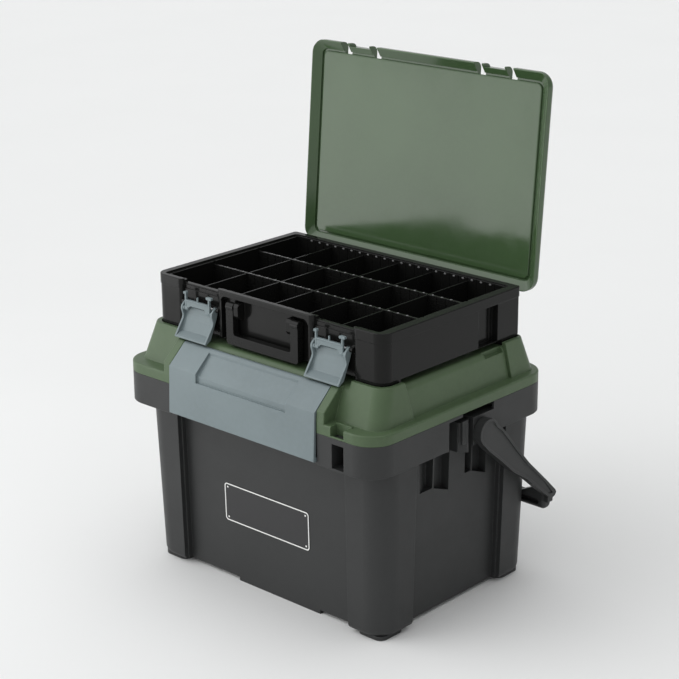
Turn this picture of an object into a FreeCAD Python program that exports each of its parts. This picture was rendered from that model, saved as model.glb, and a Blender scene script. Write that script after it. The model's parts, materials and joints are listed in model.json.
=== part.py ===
import FreeCAD, Part
import os
import math
import Sketcher
from FreeCAD import Vector, Rotation, Placement

# Storage box: a tapered tub with a hinged lid, and a compartment case that
# stands on the lid.  Millimetres.  X to the right, Y to the back, Z up; the
# floor is z = 0 and the origin is the middle of the footprint on the floor.

os.makedirs("parts", exist_ok=True)
doc = FreeCAD.newDocument("storage_box")
sheet = doc.addObject("Spreadsheet::Sheet", "dims")

SIZES = [
    ("y_mid", -10.77),         # middle of the flange, seen from the origin
    ("flange_w", 450.0), ("flange_d", 346.0), ("flange_r", 35.3),
    ("skirt_z", 234.3), ("rim_z", 276.4), ("wall", 3.0),
    ("tub_w0", 414.1), ("tub_d0", 297.4), ("tub_w1", 426.3), ("tub_d1", 307.8),
    ("tub_r", 31.0), ("tub_y", 9.1),
    ("recess_f", 13.3), ("recess_side", 12.8), ("step_mid", 6.5), ("step_w", 1.7),
    ("col_x", 151.0), ("col_front", -80.0), ("col_back", 98.0),
    ("lift", 4.5), ("floor_t", 3.5), ("foot_x0", -58.0), ("foot_x1", 90.0),
    ("pad_x", 200.6), ("pad_in", 158.0), ("pad_f", -132.6), ("pad_len", 44.6),
    ("flange_top", 290.4), ("deck_z", 333.0), ("ear_z", 338.5),
    ("hump_x0", 210.5), ("hump_x1", 203.5), ("hump_f0", -153.5), ("hump_f1", -134.5),
    ("hump_b0", 158.0), ("hump_b1", 134.5), ("ear_x0", 214.6), ("ear_x1", 207.0),
    ("ear_b0", 157.5), ("ear_b1", 141.0),
    ("bh_y", 179.5), ("bh_r", 4.5), ("bh_x", 125.0), ("pin_small", 1.6), ("run_gap", 0.05),
    ("pivot_y", 32.0), ("pivot_z", 244.0), ("boss_r", 18.0), ("arm_in", 226.0), ("arm_out", 238.0),
    ("pivot_pin", 6.0), ("grip_x", 230.0),
    ("buckle_x", 129.5), ("bk_y", -143.5), ("bk_z", 324.8), ("bk_r", 4.2), ("bk_pin", 2.0),
    ("case_x", 200.8), ("case_f", -129.0), ("case_b", 139.5), ("case_z0", 340.0),
    ("case_z1", 405.2), ("case_r", 16.0), ("case_rb", 5.0), ("rim_band", 391.4), ("rim_step", 0.8),
    ("in_x", 184.0), ("in_f", -117.0), ("in_b", 128.4), ("in_z", 342.5),
    ("zone_c0", 78.5), ("zone_c1", 156.7), ("zone_y", -122.6), ("zone_top", 400.0), ("recess_x", 77.0),
    ("div_z", 399.0), ("div_pitch", 15.15), ("long_t", 3.0), ("long_f", -36.5), ("long_r", 49.0),
    ("cross_t", 1.3), ("groove_w", 1.7), ("groove_d", 0.9),
    ("lid_x", 204.0), ("lid_f", -141.0), ("lid_b", 145.0), ("lid_z0", 405.5), ("lid_t", 16.0),
    ("lid_r", 20.0), ("lid_open", 94.7), ("ch_y", 145.0), ("ch_z", 390.5), ("ch_r", 4.5),
    ("handle_x", 63.4), ("handle_in", 50.8), ("handle_z0", 337.6), ("handle_z1", 350.6),
    ("hp_y", -128.4), ("hp_z", 387.2), ("hp_r", 6.0), ("hp_pin", 1.8),
    ("latch_x", 116.5), ("lever_half", 29.1), ("lp_y", -126.4), ("lp_z", 375.0), ("latch_pin", 1.5),
    ("link_half", 22.6), ("lk_dy", -6.0), ("lk_dz", -5.4), ("link_h", 22.8),
    ("label_w", 154.0), ("label_h", 54.5), ("label_x", -2.0), ("label_z", 112.0), ("label_t", 0.6),
]
for row, (alias, value) in enumerate(SIZES, start=1):
    sheet.set("A%d" % row, alias)
    sheet.set("B%d" % row, str(value))
    sheet.setAlias("B%d" % row, alias)
doc.recompute()


class Q:
    """A size: its value, and the formula over the sheet's cells that gives it."""

    def __init__(self, value, text):
        self.v = float(value)
        self.t = text

    def __add__(self, o):
        o = q(o)
        return Q(self.v + o.v, "(%s + %s)" % (self.t, o.t))

    def __sub__(self, o):
        o = q(o)
        return Q(self.v - o.v, "(%s - %s)" % (self.t, o.t))

    def __mul__(self, o):
        o = q(o)
        return Q(self.v * o.v, "(%s * %s)" % (self.t, o.t))

    def __truediv__(self, o):
        o = q(o)
        return Q(self.v / o.v, "(%s / %s)" % (self.t, o.t))

    def __neg__(self):
        return Q(-self.v, "(0 - %s)" % self.t)

    def __radd__(self, o):
        return q(o) + self

    def __rsub__(self, o):
        return q(o) - self

    def __rmul__(self, o):
        return q(o) * self


def q(o):
    return o if isinstance(o, Q) else Q(o, "(%.6f)" % o if o >= 0 else "(0 - %.6f)" % (-o))


D = {a: Q(v, "dims." + a) for a, v in SIZES}


class Dims:
    pass


d = Dims()
for a in D:
    setattr(d, a, D[a])


def Y(v):
    """A depth measured from the middle of the flange."""
    return d.y_mid + v


COUNT = [0]


def uid(name):
    COUNT[0] += 1
    return "%s_%d" % (name, COUNT[0])


def bind(obj, prop, value):
    obj.setExpression(prop, q(value).t)


def put(obj, x, y, z, rot=None):
    x, y, z = q(x), q(y), q(z)
    obj.Placement = Placement(Vector(x.v, y.v, z.v), rot or Rotation())
    bind(obj, "Placement.Base.x", x)
    bind(obj, "Placement.Base.y", y)
    bind(obj, "Placement.Base.z", z)


def box(name, x0, x1, y0, y1, z0, z1):
    b = doc.addObject("Part::Box", uid(name))
    x0, x1, y0, y1, z0, z1 = [q(v) for v in (x0, x1, y0, y1, z0, z1)]
    for prop, val in (("Length", x1 - x0), ("Width", y1 - y0), ("Height", z1 - z0)):
        setattr(b, prop, val.v)
        bind(b, prop, val)
    put(b, x0, y0, z0)
    return b


def cyl(name, axis, a0, a1, u, v, r):
    """A cylinder along an axis from a0 to a1; (u, v) are the other two coordinates."""
    c = doc.addObject("Part::Cylinder", uid(name))
    a0, a1, u, v, r = [q(t) for t in (a0, a1, u, v, r)]
    c.Radius = r.v
    c.Height = (a1 - a0).v
    bind(c, "Radius", r)
    bind(c, "Height", a1 - a0)
    if axis == "x":
        put(c, a0, u, v, Rotation(Vector(0, 1, 0), 90))
    elif axis == "y":
        put(c, u, a0, v, Rotation(Vector(1, 0, 0), -90))
    else:
        put(c, u, v, a0)
    return c


def fuse(name, *objs):
    objs = [o for o in objs if o is not None]
    if len(objs) == 1:
        return objs[0]
    f = doc.addObject("Part::MultiFuse", uid(name))
    f.Shapes = list(objs)
    return f


def cut(name, base, *tools):
    c = doc.addObject("Part::Cut", uid(name))
    c.Base = base
    c.Tool = fuse(name + "_tools", *tools)
    return c


def common(name, a, b):
    c = doc.addObject("Part::Common", uid(name))
    c.Base = a
    c.Tool = b
    return c


def rr(name, x0, x1, y0, y1, r, z):
    """A rounded rectangle sketch lying at height z, every size tied to the sheet."""
    x0, x1, y0, y1, r, z = [q(t) for t in (x0, x1, y0, y1, r, z)]
    s = doc.addObject("Sketcher::SketchObject", uid(name))
    put(s, 0, 0, z)
    X0, X1, Y0, Y1, R = x0.v, x1.v, y0.v, y1.v, r.v
    L = Part.LineSegment
    s.addGeometry([
        L(Vector(X0 + R, Y0, 0), Vector(X1 - R, Y0, 0)),
        L(Vector(X1, Y0 + R, 0), Vector(X1, Y1 - R, 0)),
        L(Vector(X1 - R, Y1, 0), Vector(X0 + R, Y1, 0)),
        L(Vector(X0, Y1 - R, 0), Vector(X0, Y0 + R, 0)),
        Part.ArcOfCircle(Part.Circle(Vector(X1 - R, Y0 + R, 0), Vector(0, 0, 1), R), -math.pi / 2, 0),
        Part.ArcOfCircle(Part.Circle(Vector(X1 - R, Y1 - R, 0), Vector(0, 0, 1), R), 0, math.pi / 2),
        Part.ArcOfCircle(Part.Circle(Vector(X0 + R, Y1 - R, 0), Vector(0, 0, 1), R), math.pi / 2, math.pi),
        Part.ArcOfCircle(Part.Circle(Vector(X0 + R, Y0 + R, 0), Vector(0, 0, 1), R), math.pi, 1.5 * math.pi),
    ], False)
    C = Sketcher.Constraint
    s.addConstraint([
        C("Tangent", 0, 2, 4, 1), C("Tangent", 4, 2, 1, 1), C("Tangent", 1, 2, 5, 1), C("Tangent", 5, 2, 2, 1),
        C("Tangent", 2, 2, 6, 1), C("Tangent", 6, 2, 3, 1), C("Tangent", 3, 2, 7, 1), C("Tangent", 7, 2, 0, 1),
        C("Horizontal", 0), C("Vertical", 1), C("Equal", 4, 5), C("Equal", 4, 6), C("Equal", 4, 7),
    ])
    for con, val in (
        (C("Radius", 4, R), r),
        (C("DistanceX", -1, 1, 3, 1, X0), x0),
        (C("DistanceX", -1, 1, 1, 1, X1), x1),
        (C("DistanceY", -1, 1, 0, 1, Y0), y0),
        (C("DistanceY", -1, 1, 2, 1, Y1), y1),
    ):
        i = s.addConstraint(con)
        s.setExpression("Constraints[%d]" % i, val.t)
    return s


def frustum(name, low, high, z0, z1, r, r_back=None):
    """A block that tapers from the rectangle low at z0 to the rectangle high at z1.

    Each rectangle is x0, x1, y0, y1, and the four leaning corners are rounded;
    r_back is the rounding of the two back ones where it differs."""
    low, high = [q(v) for v in low], [q(v) for v in high]
    z0, z1 = q(z0), q(z1)
    w = doc.addObject("Part::Wedge", uid(name))
    vals = (("Xmin", low[0]), ("Xmax", low[1]), ("Zmin", -low[3]), ("Zmax", -low[2]), ("Ymin", q(0)), ("Ymax", z1 - z0),
            ("X2min", high[0]), ("X2max", high[1]), ("Z2min", -high[3]), ("Z2max", -high[2]))
    for prop, val in vals:
        setattr(w, prop, val.v)
    for prop, val in vals:
        bind(w, prop, val)
    put(w, 0, 0, z0, Rotation(Vector(1, 0, 0), 90))
    tall = (z1 - z0).v
    half_y = (low[2].v + low[3].v) / 2

    def leaning(e, back):
        p, t = e.valueAt(e.FirstParameter), e.valueAt(e.LastParameter)
        return abs(abs(p.z - t.z) - tall) < 0.01 and (back is None or (p.y > half_y) == back)

    if r_back is None:
        return fillet(name + "_corners", w, r, lambda e: leaning(e, None))
    w = fillet(name + "_front_corners", w, r, lambda e: leaning(e, False))
    return fillet(name + "_back_corners", w, r_back, lambda e: leaning(e, True) and e.Curve.TypeId == "Part::GeomLine")


def poly_geometry(s, pts):
    pts = [(q(u), q(v)) for u, v in pts]
    n = len(pts)
    s.addGeometry([
        Part.LineSegment(Vector(pts[i][0].v, pts[i][1].v, 0),
                         Vector(pts[(i + 1) % n][0].v, pts[(i + 1) % n][1].v, 0)) for i in range(n)
    ], False)
    for i in range(n):
        s.addConstraint(Sketcher.Constraint("Coincident", i, 2, (i + 1) % n, 1))
    for i, (u, v) in enumerate(pts):
        k = s.addConstraint(Sketcher.Constraint("DistanceX", -1, 1, i, 1, u.v))
        s.setExpression("Constraints[%d]" % k, u.t)
        k = s.addConstraint(Sketcher.Constraint("DistanceY", -1, 1, i, 1, v.v))
        s.setExpression("Constraints[%d]" % k, v.t)


def prism(name, axis, pts, a0, a1):
    """A polygon drawn across an axis and run along it from a0 to a1."""
    a0, a1 = q(a0), q(a1)
    s = doc.addObject("Sketcher::SketchObject", uid(name + "_outline"))
    if axis == "x":
        put(s, a0, 0, 0, Rotation(Vector(1, 1, 1), 120))
        way = Vector(1, 0, 0)
    elif axis == "y":
        put(s, 0, a0, 0, Rotation(Vector(1, 0, 0), 90))
        way = Vector(0, 1, 0)
    else:
        put(s, 0, 0, a0)
        way = Vector(0, 0, 1)
    poly_geometry(s, pts)
    e = doc.addObject("Part::Extrusion", uid(name))
    e.Base = s
    e.DirMode = "Custom"
    e.Dir = way
    e.LengthFwd = (a1 - a0).v
    bind(e, "LengthFwd", a1 - a0)
    e.Solid = True
    return e


def rbox(name, x0, x1, y0, y1, r, z0, z1):
    """A box with rounded upright corners."""
    s = rr(name + "_outline", x0, x1, y0, y1, r, z0)
    e = doc.addObject("Part::Extrusion", uid(name))
    e.Base = s
    e.DirMode = "Custom"
    e.Dir = Vector(0, 0, 1)
    h = q(z1) - q(z0)
    e.LengthFwd = h.v
    bind(e, "LengthFwd", h)
    e.Solid = True
    return e


def mid(e):
    a, b = e.ParameterRange
    return e.valueAt((a + b) / 2.0)


def fillet(name, base, r, pick):
    doc.recompute()
    edges = [(i + 1, r, r) for i, e in enumerate(base.Shape.Edges) if pick(e)]
    if not edges:
        raise RuntimeError("no edge to round on " + name)
    f = doc.addObject("Part::Fillet", uid(name))
    f.Base = base
    f.Edges = edges
    return f


def at_z(z, tol=0.05):
    z = q(z).v
    return lambda e: all(abs(p.z - z) < tol for p in (e.valueAt(e.FirstParameter), mid(e), e.valueAt(e.LastParameter)))


def along(axis):
    k = "xyz".index(axis)

    def pick(e):
        a, b = e.valueAt(e.FirstParameter), e.valueAt(e.LastParameter)
        t = b - a
        return t.Length > 0.01 and abs(abs(t[k]) - t.Length) < 1e-4 and e.Curve.TypeId == "Part::GeomLine"

    return pick


NODES = []


def node(obj, label):
    obj.Label = label
    NODES.append(obj)
    return obj


def mirrored(name, obj):
    m = doc.addObject("Part::Mirroring", uid(name))
    m.Source = obj
    m.Base = Vector(0, 0, 0)
    m.Normal = Vector(1, 0, 0)
    return m


# ---------------------------------------------------------------- the tub

def tub_w(z):
    return d.tub_w0 + (d.tub_w1 - d.tub_w0) * q(z) / d.skirt_z


def tub_d(z):
    return d.tub_d0 + (d.tub_d1 - d.tub_d0) * q(z) / d.skirt_z


def tapered(name, z0, z1, in_x, in_y, less_r):
    """The tub's tapering outside, drawn in by in_x at the sides and in_y front and back."""
    secs = []
    for z in (z0, z1):
        hw = tub_w(z) / 2 - in_x
        hd = tub_d(z) / 2 - in_y
        secs.append((-hw, hw, Y(d.tub_y) - hd, Y(d.tub_y) + hd))
    return frustum(name, secs[0], secs[1], z0, z1, d.tub_r.v - less_r)


def corners(name, x, yf, yb, z0, z1):
    out = []
    for sx in (-1, 1):
        for y0, y1 in ((q(-200), yf), (yb, q(220))):
            xa, xb = (x, q(240)) if sx > 0 else (q(-240), -x)
            out.append(box(name, xa, xb, Y(y0), Y(y1), z0, z1))
    return fuse(name, *out)


full = tapered("full", d.lift, d.rim_z, 0, 0, 0)
full = fillet("full_round", full, 9.5, at_z(d.lift))
cols = common("columns", full, corners("colbox", d.col_x, d.col_front, d.col_back, -1, d.rim_z + 1))
half = tapered("half", d.lift + 0.9, d.rim_z, d.step_mid, d.step_mid, 5)
cols2 = common("column_steps", half, corners("colbox2", d.col_x - d.step_w, d.col_front + d.step_w, d.col_back - d.step_w, 1, d.rim_z + 1))
# the box stands on a low pad under each corner
pads = []
for sx in (-1, 1):
    xa, xb = (d.pad_in, d.pad_x) if sx > 0 else (-d.pad_x, -d.pad_in)
    pads.append(rbox("pad_front", xa, xb, Y(d.pad_f), Y(d.pad_f + d.pad_len), 10, 0, d.lift + 1))
    back = 2 * d.tub_y - d.pad_f
    pads.append(rbox("pad_back", xa, xb, Y(back - d.pad_len), Y(back), 10, 0, d.lift + 1))
panel = tapered("panel", d.lift, d.rim_z, d.recess_side, d.recess_f, 8)
panel = fillet("panel_round", panel, 2.0, at_z(d.lift))
panel_low = tapered("panel_low", 0, d.lift + 8, d.recess_side, d.recess_f, 8)
feet_zone = fuse("feet_zone",
                 box("foot_front", d.foot_x0, d.foot_x1, Y(-150), Y(-116), 0, d.lift + 4),
                 box("foot_back", -d.foot_x1, d.foot_x1, Y(134), Y(170), 0, d.lift + 4))
feet = common("feet", panel_low, feet_zone)

w = d.wall
cav_p = tapered("cavity_panel", d.lift + d.floor_t, d.rim_z + 2, d.recess_side + w, d.recess_f + w, 10)
cav_f = tapered("cavity_full", d.lift + d.floor_t, d.rim_z + 2, w, w, 2.5)
cav_f = fillet("cavity_full_round", cav_f, 6.0, at_z(d.lift + d.floor_t))
cav_c = common("cavity_columns", cav_f, corners("cavbox", d.col_x + w, d.col_front - w, d.col_back + w, 0, d.rim_z + 3))
# pockets under the pivot housings dent the side walls, so the wall goes round them
dents = []
for sx in (-1, 1):
    for y0, y1, z0 in ((-69, 2, 161), (25, 78, 161)):
        xa, xb = (183.5, 215) if sx > 0 else (-215, -183.5)
        dents.append(box("dent", xa, xb, Y(y0), Y(y1), z0, 300))
cavity = cut("cavity", fuse("cavity_all", cav_p, cav_c), *dents)

sk_out = rbox("skirt_out", -d.flange_w / 2, d.flange_w / 2, Y(-d.flange_d / 2), Y(d.flange_d / 2), d.flange_r, d.skirt_z, d.rim_z)
sk_out = fillet("skirt_round", sk_out, 1.2, at_z(d.skirt_z))
sk_in = rbox("skirt_in", -d.flange_w / 2 + w, d.flange_w / 2 - w, Y(-d.flange_d / 2) + w, Y(d.flange_d / 2) - w, d.flange_r - w, d.skirt_z - 1, d.rim_z - 4)
skirt = cut("skirt", sk_out, sk_in)

adds, cuts, late = [], [], []
# seat of the front buckle: the skirt steps back and carries a catch ridge
cuts.append(box("buckle_seat", -131.5, 131.5, Y(-180), Y(-169), 200, d.rim_z + 1))
seat_back = box("seat_back", -134.5, 134.5, Y(-169), Y(-166), d.skirt_z, d.rim_z)
ridge = prism("catch_ridge", "x", [(Y(-168), 254), (Y(-172.4), 251), (Y(-172.4), 248.6), (Y(-168), 244.2)], -60, 60)
# slot under the lid's notch, right of the buckle
adds.append(box("strap_box", 153.5, 178, Y(-171), Y(-143), 234.5, 271.5))
late.append(box("strap_slot", 156, 175.5, Y(-180), Y(-149), 237, 269))
ribs = []
for x in (-120, -60, 0, 60, 120):
    ribs.append(box("rib", x - 1.2, x + 1.2, Y(-167.5), Y(-127), d.skirt_z + 6, d.rim_z - 1))
for x in (-150, -75, 0, 75, 150):
    ribs.append(box("rib", x - 1.2, x + 1.2, Y(146), Y(171.5), d.skirt_z + 6, d.rim_z - 1))

for sx in (-1, 1):
    def sb(name, xa, xb, *rest):
        return box(name, xa, xb, *rest) if sx > 0 else box(name, -q(xb), -q(xa), *rest)

    # slot that parts the skirt from the pivot housing, and the gap above the housing
    for when in (cuts, late):
        when.append(sb("housing_slot", 214, 232, Y(-33), Y(-6.3), 221, d.rim_z - 4))
        when.append(sb("housing_gap", 213, 232, Y(-6.4), Y(56), 266, d.rim_z + 1))
        when.append(sb("housing_dip", 217, 232, Y(4), Y(15), 230, 268))
    adds.append(sb("housing_body", 198, 225, Y(15), Y(62), 228.5, 266))
    adds.append(sb("housing_root", 198, 217, Y(-6.3), Y(16), 223, 262.8))
    xs = (lambda v: v) if sx > 0 else (lambda v: -v)
    nose = prism("nose", "z", [(xs(212), Y(-6.3)), (xs(215), Y(-6.3)), (xs(226), Y(2.0)), (xs(226), Y(4.6)), (xs(212), Y(4.6))], 223, 262.8)
    nose = fillet("nose_round", nose, 1.2, lambda e: abs(mid(e).z - 262.8) < 0.1)
    adds.append(nose)
    adds.append(sb("slot_end", 216, 225, Y(-36), Y(-33), d.skirt_z, d.rim_z))
    # pockets with a ramp at the front, under the housing
    for y0, y1, ramp in ((-31, -1, -66), (46, 75, 28)):
        deep = prism("pocket", "x", [(Y(y0), 177), (Y(y1), 165.5), (Y(y1), 232), (Y(y0), 232)],
                     186.5 if sx > 0 else -206, 206 if sx > 0 else -186.5)
        cuts.append(deep)
        pts = [(xs(203), Y(ramp)), (xs(188), Y(y0 - 6)), (xs(188), Y(y0 - 2.2)), (xs(203), Y(y0 - 2.2))]
        if sx < 0:
            pts = pts[::-1]
        cuts.append(prism("ramp", "z", pts, 178, 232))
    # bore for the bail's pivot pin
    late.append(cyl("pin_bore", "x", 199 if sx > 0 else -231, 231 if sx > 0 else -199, Y(d.pivot_y), d.pivot_z, d.pivot_pin))

# rear hinge knuckles of the tub
bh_y, bh_z = Y(d.bh_y), d.rim_z
for cx in (-1, 1):
    for a, b in ((-20, -8), (8, 20)):
        x0 = cx * d.bh_x + a
        x1 = cx * d.bh_x + b
        adds.append(prism("knuckle_web", "x", [(Y(172), 256), (bh_y + 3.6, bh_z - 2.7), (bh_y - 2.6, bh_z - 0.6), (Y(172), bh_z - 0.6)], x0, x1))
        adds.append(cyl("knuckle", "x", x0, x1, bh_y, bh_z, d.bh_r))
    late.append(cyl("hinge_bore", "x", cx * d.bh_x - 21, cx * d.bh_x + 21, bh_y, bh_z, d.pin_small))

body_solid = fuse("tub_solid", panel, cols, cols2, feet, skirt, *pads)
body_solid = cut("tub_trim", body_solid, *cuts)
body_solid = fuse("tub_more", body_solid, seat_back, ridge, *(adds + ribs))
tub = cut("tub", body_solid, cavity, *late)
node(tub, "tub")

pins = []
for cx in (-1, 1):
    pins.append(cyl("base_pin", "x", cx * d.bh_x - 20.5, cx * d.bh_x + 20.5, bh_y, bh_z, d.pin_small))
node(fuse("base_hinge_pins", *pins), "base_hinge_pins")

pp = []
for sx in (-1, 1):
    a, b = (202.5, 235.0) if sx > 0 else (-235.0, -202.5)
    pp.append(cyl("pivot_pin", "x", a, b, Y(d.pivot_y), d.pivot_z, d.pivot_pin))
node(fuse("bail_pivot_pins", *pp), "bail_pivot_pins")

# the label plate: a thin rounded plate on the front panel, leaning with it
label = doc.addObject("PartDesign::Body", "front_label")
doc.recompute()


def plane(body, role):
    return [f for f in body.Origin.OriginFeatures if f.Role == role][0]


ls = label.newObject("Sketcher::SketchObject", "label_outline")
ls.AttachmentSupport = [(plane(label, "XY_Plane"), "")]
ls.MapMode = "FlatFace"
hw, hh = d.label_w / 2, d.label_h / 2
poly_geometry(ls, [(-hw, -hh), (hw, -hh), (hw, hh), (-hw, hh)])
lp = label.newObject("PartDesign::Pad", "label_pad")
lp.Profile = ls
lp.Length = 0.6
bind(lp, "Length", d.label_t)
doc.recompute()
lf = label.newObject("PartDesign::Fillet", "label_corners")
lf.Base = (lp, ["Edge%d" % (i + 1) for i, e in enumerate(lp.Shape.Edges) if along("z")(e)])
lf.Radius = 5.0
lean = math.degrees(math.atan2((d.tub_d1.v - d.tub_d0.v) / 2, d.skirt_z.v))
front_y = Y(d.tub_y) - tub_d(d.label_z) / 2 + d.recess_f
label.Placement = Placement(Vector(d.label_x.v, front_y.v, d.label_z.v), Rotation(Vector(1, 0, 0), 90 + lean))
bind(label, "Placement.Base.x", d.label_x)
bind(label, "Placement.Base.y", front_y)
bind(label, "Placement.Base.z", d.label_z)
node(label, "front_label")

# ---------------------------------------------------------------- the lid of the tub

fl = rbox("flange", -d.flange_w / 2, d.flange_w / 2, Y(-d.flange_d / 2), Y(d.flange_d / 2), d.flange_r, d.rim_z, d.flange_top)
fl = fillet("flange_round", fl, 2.5, at_z(d.flange_top))
fl = fillet("flange_low", fl, 0.8, at_z(d.rim_z))


def domed(name, z0, z1, grow, r, x=None, b=None, r_back=None):
    """The raised part of the lid from z0 to z1, drawn in by grow."""
    x = x or (d.hump_x0, d.hump_x1)
    b = b or (d.hump_b0, d.hump_b1)
    secs = []
    for z in (z0, z1):
        t = (q(z) - 288) / 50.5
        hx = x[0] + (x[1] - x[0]) * t - grow
        yf = d.hump_f0 + (d.hump_f1 - d.hump_f0) * t + grow
        yb = b[0] + (b[1] - b[0]) * t - grow
        secs.append((-hx, hx, Y(yf), Y(yb)))
    return frustum(name, secs[0], secs[1], z0, z1, r, r_back)


def two_r(name, grow, z0, z1):
    """The case's outline drawn in by grow: wide corners in front, tight ones behind."""
    x, yf, yb = d.case_x - grow, Y(d.case_f) + grow, Y(d.case_b) - grow
    front = rbox(name + "_front", -x, x, yf, yb + 30, d.case_r - grow, z0, z1)
    back = rbox(name + "_back", -x, x, yf - 30, yb, d.case_rb - grow, z0, z1)
    return common(name, front, back)


hump = domed("hump", 285, d.deck_z, 0, 20)
hump = fillet("hump_round", hump, 9.0, at_z(d.deck_z))
tall = domed("tall", 285, d.ear_z, 0, 20, (d.ear_x0, d.ear_x1), (d.ear_b0, d.ear_b1), 12)
tall = fillet("tall_round", tall, 1.6, at_z(d.ear_z))
ear_edges = {"front": [(-160, 286), (-86, 286), (-98, 345), (-160, 345)], "back": [(107, 286), (165, 286), (165, 345), (100, 345)]}
ear_zones = []
for pts in ear_edges.values():
    for a, b in ((154, 217), (-217, -154)):
        ear_zones.append(prism("ear_zone", "x", [(Y(u), v) for u, v in pts], a, b))
ears = common("ears", tall, fuse("ear_zone_all", *ear_zones))
ears = cut("ears_seat", ears, two_r("ear_seat", -0.5, d.deck_z, 350))

cheeks = []
for sx in (-1, 1):
    a, b = (130.2, 143.0) if sx > 0 else (-143.0, -130.2)
    ck = prism("cheek", "x", [(Y(-134), d.deck_z - 0.8), (Y(-145.2), 329.4), (Y(-171.8), 304.6), (Y(-172.9), 289), (Y(-140), 289)], a, b)
    ck = fillet("cheek_round", ck, 1.2, lambda e: along("y")(e) is False and along("x")(e) is False and along("z")(e) is False and mid(e).z > 292)
    cheeks.append(ck)

lid_in = domed("lid_hollow", 280, d.deck_z - w, w, 17)
lid_in = fillet("lid_hollow_round", lid_in, 6.0, at_z(d.deck_z - w))
lid_in = cut("lid_hollow_trim", lid_in,
             box("keep_scoop", 194.5, 216, Y(59), Y(104), 323.3, 335), box("keep_scoop", -216, -194.5, Y(59), Y(104), 323.3, 335))
fl_in = rbox("flange_hollow", -d.flange_w / 2 + w, d.flange_w / 2 - w, Y(-d.flange_d / 2) + w, Y(d.flange_d / 2) - w, d.flange_r - w, d.rim_z - 1, d.flange_top - w)
fl_in = cut("flange_hollow_trim", fl_in,
            box("keep_buckle", -134.5, 134.5, Y(-175), Y(-166.5), 270, 300),
            box("keep_notch", 151, 178.6, Y(-175), Y(-157.5), 270, 300))
lugs = []
for cx in (-1, 1):
    x0, x1 = cx * d.bh_x - 7.7, cx * d.bh_x + 7.7
    lugs.append(prism("lid_web", "x", [(Y(172), 279.5), (bh_y - 3.0, bh_z + 3.0), (bh_y + 3.2, bh_z + 3.1), (Y(172), 288.5)], x0, x1))
    lugs.append(cyl("lid_knuckle", "x", x0, x1, bh_y, bh_z, d.bh_r))
lid_out = fuse("lid_out", fl, hump, ears, *(cheeks + lugs))
notch_lip = box("notch_lip", 152, 177.6, Y(-160.2), Y(-158), 285, 292.2)
lid_out = fuse("lid_lip", lid_out, notch_lip)
lid_cuts = [lid_in, fl_in,
            box("lid_buckle_seat", -131.5, 131.5, Y(-180), Y(-169.5), 270, d.flange_top + 0.01),
            box("lid_notch", 154, 175.6, Y(-180), Y(-160.2), 278.6, 295),
            box("lid_notch_hole", 154, 175.6, Y(-170.4), Y(-160.2), 270, 280),
            cyl("barrel_seat", "x", -130.2, 130.2, Y(d.bk_y), d.bk_z, d.bk_r + 0.9)]
for cx in (-1, 1):
    lid_cuts.append(cyl("lid_bore", "x", cx * d.bh_x - 9, cx * d.bh_x + 9, bh_y, bh_z, d.pin_small + d.run_gap))
    a, b = (129.0, 140.0) if cx > 0 else (-140.0, -129.0)
    lid_cuts.append(cyl("cheek_bore", "x", a, b, Y(d.bk_y), d.bk_z, d.bk_pin))
# thin grooves that set the ears off from the plain wall, and a scoop in the deck's edge beside the back ear
for sx in (-1, 1):
    a, b = (190, 217) if sx > 0 else (-217, -190)
    strips = [prism("ear_groove", "x", [(Y(-86.2), 291.2), (Y(-84.8), 291.2), (Y(-96.6), 345), (Y(-98), 345)], a, b),
              prism("ear_groove", "x", [(Y(105.4), 291.2), (Y(106.8), 291.2), (Y(100), 345), (Y(98.6), 345)], a, b)]
    lid_cuts.append(cut("ear_grooves", fuse("ear_groove_pair", *strips), domed("groove_floor", 284, 350, 1.2, 18)))
    a, b = (198, 217) if sx > 0 else (-217, -198)
    lid_cuts.append(box("deck_scoop", a, b, Y(62), Y(98.5), 326.5, 345))
base_lid = cut("base_lid", lid_out, *lid_cuts)
node(base_lid, "base_lid")

bp = []
for sx in (-1, 1):
    a, b = (118.0, 140.0) if sx > 0 else (-140.0, -118.0)
    bp.append(cyl("buckle_pin", "x", a, b, Y(d.bk_y), d.bk_z, d.bk_pin))
node(fuse("buckle_pins", *bp), "buckle_pins")

# ---------------------------------------------------------------- the front buckle

by, bz = Y(d.bk_y), d.bk_z
plate = prism("buckle_plate", "x", [
    (by - 2.9, bz + 3.1), (Y(-174.5), 302.5), (Y(-177.2), 238.0), (Y(-170.6), 238.0), (Y(-170.2), 242.2),
    (Y(-173.0), 244.4), (Y(-171.6), 297.0), (by - 0.5, bz - 4.1)], -d.buckle_x, d.buckle_x)
plate = fillet("buckle_edges", plate, 1.6, lambda e: along("x")(e) and (abs(mid(e).z - 238) < 0.1 or abs(mid(e).z - 302.5) < 0.1) and mid(e).y < Y(-172).v)
hollow = prism("buckle_hollow", "x", [
    (by + 4, bz - 9), (by - 4.6, bz - 4.8), (Y(-166.5), 300.2), (Y(-170.6), 297.4), (Y(-173.4), 250), (Y(-160), 250)], -126.3, 126.3)
barrel = cyl("buckle_barrel", "x", -d.buckle_x, d.buckle_x, by, bz, d.bk_r)
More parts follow.
